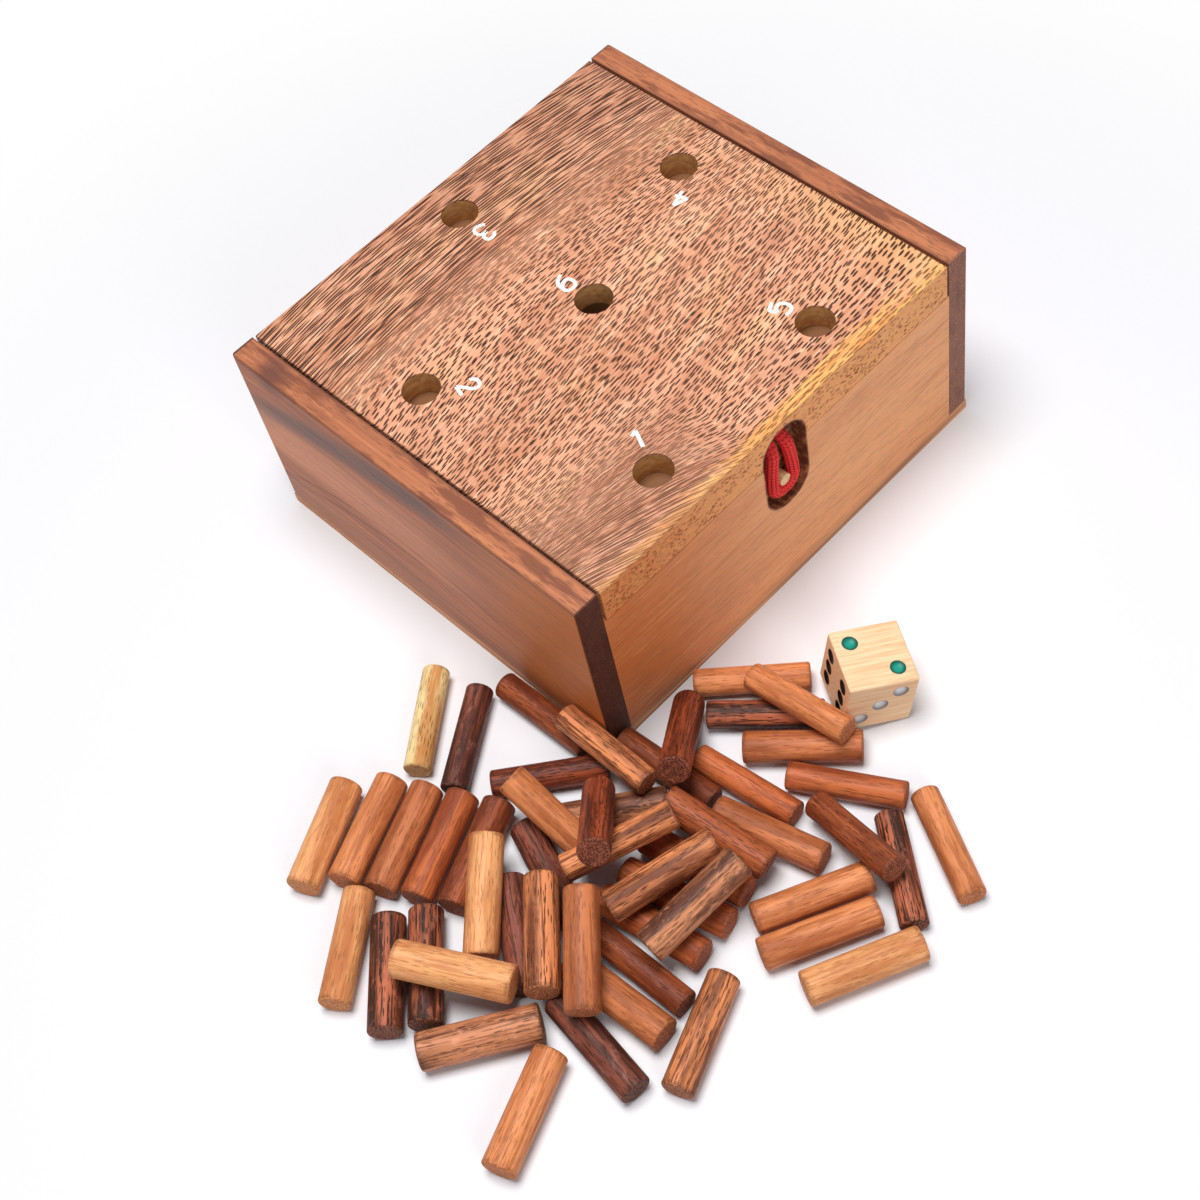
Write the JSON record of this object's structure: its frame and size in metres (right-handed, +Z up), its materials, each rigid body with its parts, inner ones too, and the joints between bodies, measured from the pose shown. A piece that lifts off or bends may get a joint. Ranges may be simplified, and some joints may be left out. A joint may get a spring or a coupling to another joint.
{
  "type": "dice game",
  "caption": "Small wooden box with numbered peg holes in its hinged lid, an elastic loop clasp, a wooden die and loose round pegs lying in front of it.",
  "frame": {"origin": "middle of the box's underside, on the table", "axes": "+Z up, the clasp faces -Y, +X to the right as seen from the clasp"},
  "size_m": [0.2026, 0.1903, 0.055],
  "materials": {
    "panel_wood": "satin",
    "wall_wood": "satin",
    "base_wood": "satin",
    "lid_wood": "satin",
    "clasp_wood": "satin",
    "die_wood": "satin",
    "peg_golden": "satin",
    "peg_orange": "satin",
    "peg_red": "satin",
    "peg_brown": "satin",
    "peg_dark": "satin",
    "hinge_steel": "satin",
    "elastic_cord": "knitted"
  },
  "bodies": {
    "box": {"left_end_panel": "panel_wood", "right_end_panel": "panel_wood", "front_wall": "wall_wood", "rear_wall": "wall_wood", "base_board": "base_wood", "clasp_pin": "clasp_wood"},
    "lid": {"lid": "lid_wood", "hinge_pins": "hinge_steel", "clasp_cord": "elastic_cord"},
    "die": {"die": "die_wood"},
    "peg_01": {"peg_01": "peg_golden"},
    "peg_02": {"peg_02": "peg_dark"},
    "peg_03": {"peg_03": "peg_red"},
    "peg_04": {"peg_04": "peg_red"},
    "peg_05": {"peg_05": "peg_orange"},
    "peg_06": {"peg_06": "peg_orange"},
    "peg_07": {"peg_07": "peg_red"},
    "peg_08": {"peg_08": "peg_red"},
    "peg_09": {"peg_09": "peg_brown"},
    "peg_10": {"peg_10": "peg_golden"},
    "peg_11": {"peg_11": "peg_dark"},
    "peg_12": {"peg_12": "peg_dark"},
    "peg_13": {"peg_13": "peg_brown"},
    "peg_14": {"peg_14": "peg_orange"},
    "peg_15": {"peg_15": "peg_brown"},
    "peg_16": {"peg_16": "peg_dark"},
    "peg_17": {"peg_17": "peg_orange"},
    "peg_18": {"peg_18": "peg_orange"},
    "peg_19": {"peg_19": "peg_dark"},
    "peg_20": {"peg_20": "peg_golden"},
    "peg_21": {"peg_21": "peg_orange"},
    "peg_22": {"peg_22": "peg_dark"},
    "peg_23": {"peg_23": "peg_orange"},
    "peg_24": {"peg_24": "peg_orange"},
    "peg_25": {"peg_25": "peg_orange"},
    "peg_26": {"peg_26": "peg_orange"},
    "peg_27": {"peg_27": "peg_dark"},
    "peg_28": {"peg_28": "peg_dark"},
    "peg_29": {"peg_29": "peg_golden"},
    "peg_30": {"peg_30": "peg_red"},
    "peg_31": {"peg_31": "peg_brown"},
    "peg_32": {"peg_32": "peg_red"},
    "peg_33": {"peg_33": "peg_dark"},
    "peg_34": {"peg_34": "peg_golden"},
    "peg_35": {"peg_35": "peg_dark"},
    "peg_36": {"peg_36": "peg_brown"},
    "peg_37": {"peg_37": "peg_orange"},
    "peg_38": {"peg_38": "peg_brown"},
    "peg_39": {"peg_39": "peg_brown"},
    "peg_40": {"peg_40": "peg_red"},
    "peg_41": {"peg_41": "peg_golden"},
    "peg_42": {"peg_42": "peg_red"},
    "peg_43": {"peg_43": "peg_golden"},
    "peg_44": {"peg_44": "peg_golden"},
    "peg_45": {"peg_45": "peg_red"},
    "peg_46": {"peg_46": "peg_red"},
    "peg_47": {"peg_47": "peg_brown"},
    "peg_48": {"peg_48": "peg_brown"},
    "peg_49": {"peg_49": "peg_orange"},
    "peg_50": {"peg_50": "peg_red"}
  },
  "joints": [
    {"name": "lid_hinge", "type": "hinge", "parent": "box", "child": "lid", "pos_m": [0, 0.04875, 0.05], "axis": [-1, 0, 0], "range_deg": [0, 100], "deforming": ["clasp_cord"]},
    {"name": "die_lift", "type": "slide", "parent": "box", "child": "die", "axis": [0.1481, -0.0907, 0.9848], "range_m": [0, 0.04]},
    {"name": "peg_01_lift", "type": "slide", "parent": "box", "child": "peg_01", "axis": [0, 0, 1], "range_m": [0, 0.04]},
    {"name": "peg_02_lift", "type": "slide", "parent": "box", "child": "peg_02", "axis": [0, 0, 1], "range_m": [0, 0.04]},
    {"name": "peg_05_lift", "type": "slide", "parent": "box", "child": "peg_05", "axis": [0, 0, 1], "range_m": [0, 0.04]},
    {"name": "peg_06_lift", "type": "slide", "parent": "box", "child": "peg_06", "axis": [0, 0, 1], "range_m": [0, 0.04]},
    {"name": "peg_07_lift", "type": "slide", "parent": "box", "child": "peg_07", "axis": [0, 0, 1], "range_m": [0, 0.04]},
    {"name": "peg_08_lift", "type": "slide", "parent": "box", "child": "peg_08", "axis": [0, 0, 1], "range_m": [0, 0.04]},
    {"name": "peg_10_lift", "type": "slide", "parent": "box", "child": "peg_10", "axis": [0, 0, 1], "range_m": [0, 0.04]},
    {"name": "peg_14_lift", "type": "slide", "parent": "box", "child": "peg_14", "axis": [0, 0, 1], "range_m": [0, 0.04]},
    {"name": "peg_18_lift", "type": "slide", "parent": "box", "child": "peg_18", "axis": [0, 0, 1], "range_m": [0, 0.04]},
    {"name": "peg_23_lift", "type": "slide", "parent": "box", "child": "peg_23", "axis": [0, 0, 1], "range_m": [0, 0.04]},
    {"name": "peg_25_lift", "type": "slide", "parent": "box", "child": "peg_25", "axis": [0, 0, 1], "range_m": [0, 0.04]},
    {"name": "peg_26_lift", "type": "slide", "parent": "box", "child": "peg_26", "axis": [0, 0, 1], "range_m": [0, 0.04]},
    {"name": "peg_36_lift", "type": "slide", "parent": "box", "child": "peg_36", "axis": [0, 0, 1], "range_m": [0, 0.04]},
    {"name": "peg_38_lift", "type": "slide", "parent": "box", "child": "peg_38", "axis": [0, 0, 1], "range_m": [0, 0.04]},
    {"name": "peg_40_lift", "type": "slide", "parent": "box", "child": "peg_40", "axis": [0, 0, 1], "range_m": [0, 0.04]},
    {"name": "peg_41_lift", "type": "slide", "parent": "box", "child": "peg_41", "axis": [0, 0, 1], "range_m": [0, 0.04]},
    {"name": "peg_42_lift", "type": "slide", "parent": "box", "child": "peg_42", "axis": [0, 0, 1], "range_m": [0, 0.04]},
    {"name": "peg_43_lift", "type": "slide", "parent": "box", "child": "peg_43", "axis": [0, 0, 1], "range_m": [0, 0.04]},
    {"name": "peg_44_lift", "type": "slide", "parent": "box", "child": "peg_44", "axis": [0, 0, 1], "range_m": [0, 0.04]},
    {"name": "peg_47_lift", "type": "slide", "parent": "box", "child": "peg_47", "axis": [0, 0, 1], "range_m": [0, 0.04]},
    {"name": "peg_48_lift", "type": "slide", "parent": "box", "child": "peg_48", "axis": [0, 0, 1], "range_m": [0, 0.04]},
    {"name": "peg_49_lift", "type": "slide", "parent": "box", "child": "peg_49", "axis": [0, 0, 1], "range_m": [0, 0.04]},
    {"name": "peg_50_lift", "type": "slide", "parent": "box", "child": "peg_50", "axis": [0, 0, 1], "range_m": [0, 0.04]},
    {"name": "peg_11_draw", "type": "slide", "parent": "box", "child": "peg_11", "axis": [-0.6947, -0.7193, 0], "range_m": [0, 0.03]},
    {"name": "peg_17_draw", "type": "slide", "parent": "box", "child": "peg_17", "axis": [0.6561, -0.7547, 0], "range_m": [0, 0.03]},
    {"name": "peg_35_draw", "type": "slide", "parent": "box", "child": "peg_35", "axis": [-0.1219, -0.9925, 0], "range_m": [0, 0.03]},
    {"name": "peg_37_draw", "type": "slide", "parent": "box", "child": "peg_37", "axis": [-0.0473, 0.9031, 0.4267], "range_m": [0, 0.03]},
    {"name": "peg_03_roll", "type": "hinge", "parent": "box", "child": "peg_03", "pos_m": [-0.064, -0.03725, 0.0031], "axis": [0.0349, -0.9994, 0], "continuous": true},
    {"name": "peg_04_roll", "type": "hinge", "parent": "box", "child": "peg_04", "pos_m": [-0.074, -0.04875, 0.0031], "axis": [0.766, -0.6428, 0], "continuous": true},
    {"name": "peg_09_roll", "type": "hinge", "parent": "box", "child": "peg_09", "pos_m": [-0.0976, -0.05045, 0.00375], "axis": [-0.9205, -0.3907, 0], "continuous": true},
    {"name": "peg_12_roll", "type": "hinge", "parent": "box", "child": "peg_12", "pos_m": [-0.122, -0.06075, 0.00375], "axis": [-0.682, -0.7314, 0], "continuous": true},
    {"name": "peg_13_roll", "type": "hinge", "parent": "box", "child": "peg_13", "pos_m": [-0.125, -0.08025, 0.004], "axis": [0.829, -0.5592, 0], "continuous": true},
    {"name": "peg_15_roll", "type": "hinge", "parent": "box", "child": "peg_15", "pos_m": [-0.0285, -0.06625, 0.0031], "axis": [0.6947, -0.7193, 0], "continuous": true},
    {"name": "peg_16_roll", "type": "hinge", "parent": "box", "child": "peg_16", "pos_m": [-0.033, -0.07425, 0.0031], "axis": [0.6561, -0.7547, 0], "continuous": true},
    {"name": "peg_19_roll", "type": "hinge", "parent": "box", "child": "peg_19", "pos_m": [-0.0565, -0.06725, 0.0031], "axis": [0.0698, -0.9976, 0], "continuous": true},
    {"name": "peg_20_roll", "type": "hinge", "parent": "box", "child": "peg_20", "pos_m": [-0.0485, -0.08275, 0.0031], "axis": [0.1219, -0.9925, 0], "continuous": true},
    {"name": "peg_21_roll", "type": "hinge", "parent": "box", "child": "peg_21", "pos_m": [-0.054, -0.09425, 0.0035], "axis": [0.2419, -0.9703, 0], "continuous": true},
    {"name": "peg_22_roll", "type": "hinge", "parent": "box", "child": "peg_22", "pos_m": [-0.0425, -0.11975, 0.0031], "axis": [-0.6157, -0.788, 0], "continuous": true},
    {"name": "peg_24_roll", "type": "hinge", "parent": "box", "child": "peg_24", "pos_m": [-0.059, -0.11025, 0.0035], "axis": [0.891, -0.454, 0], "continuous": true},
    {"name": "peg_27_roll", "type": "hinge", "parent": "box", "child": "peg_27", "pos_m": [-0.1045, -0.06975, 0.0035], "axis": [-0.6018, -0.7986, 0], "continuous": true},
    {"name": "peg_28_roll", "type": "hinge", "parent": "box", "child": "peg_28", "pos_m": [-0.0905, -0.06525, 0.0035], "axis": [-0.342, -0.9397, 0], "continuous": true},
    {"name": "peg_29_roll", "type": "hinge", "parent": "box", "child": "peg_29", "pos_m": [-0.072, -0.06475, 0.0035], "axis": [0.7771, -0.6293, 0], "continuous": true},
    {"name": "peg_30_roll", "type": "hinge", "parent": "box", "child": "peg_30", "pos_m": [-0.069, -0.08725, 0.0035], "axis": [0.1736, -0.9848, 0], "continuous": true},
    {"name": "peg_31_roll", "type": "hinge", "parent": "box", "child": "peg_31", "pos_m": [-0.077, -0.08925, 0.0035], "axis": [0.225, -0.9744, 0], "continuous": true},
    {"name": "peg_32_roll", "type": "hinge", "parent": "box", "child": "peg_32", "pos_m": [-0.085, -0.08975, 0.0035], "axis": [0.1736, -0.9848, 0], "continuous": true},
    {"name": "peg_33_roll", "type": "hinge", "parent": "box", "child": "peg_33", "pos_m": [-0.093, -0.09375, 0.0031], "axis": [0.0349, -0.9994, 0], "continuous": true},
    {"name": "peg_34_roll", "type": "hinge", "parent": "box", "child": "peg_34", "pos_m": [-0.101, -0.09525, 0.00375], "axis": [0.0698, -0.9976, 0], "continuous": true},
    {"name": "peg_39_roll", "type": "hinge", "parent": "box", "child": "peg_39", "pos_m": [-0.062, -0.08725, 0.00772], "axis": [0.154, -0.9723, -0.1756], "continuous": true},
    {"name": "peg_45_roll", "type": "hinge", "parent": "box", "child": "peg_45", "pos_m": [-0.078, -0.07525, 0.01259], "axis": [0.8926, -0.4162, 0.1734], "continuous": true},
    {"name": "peg_46_roll", "type": "hinge", "parent": "box", "child": "peg_46", "pos_m": [-0.0775, -0.08675, 0.01163], "axis": [0.9514, -0.2909, 0.1007], "continuous": true}
  ]
}
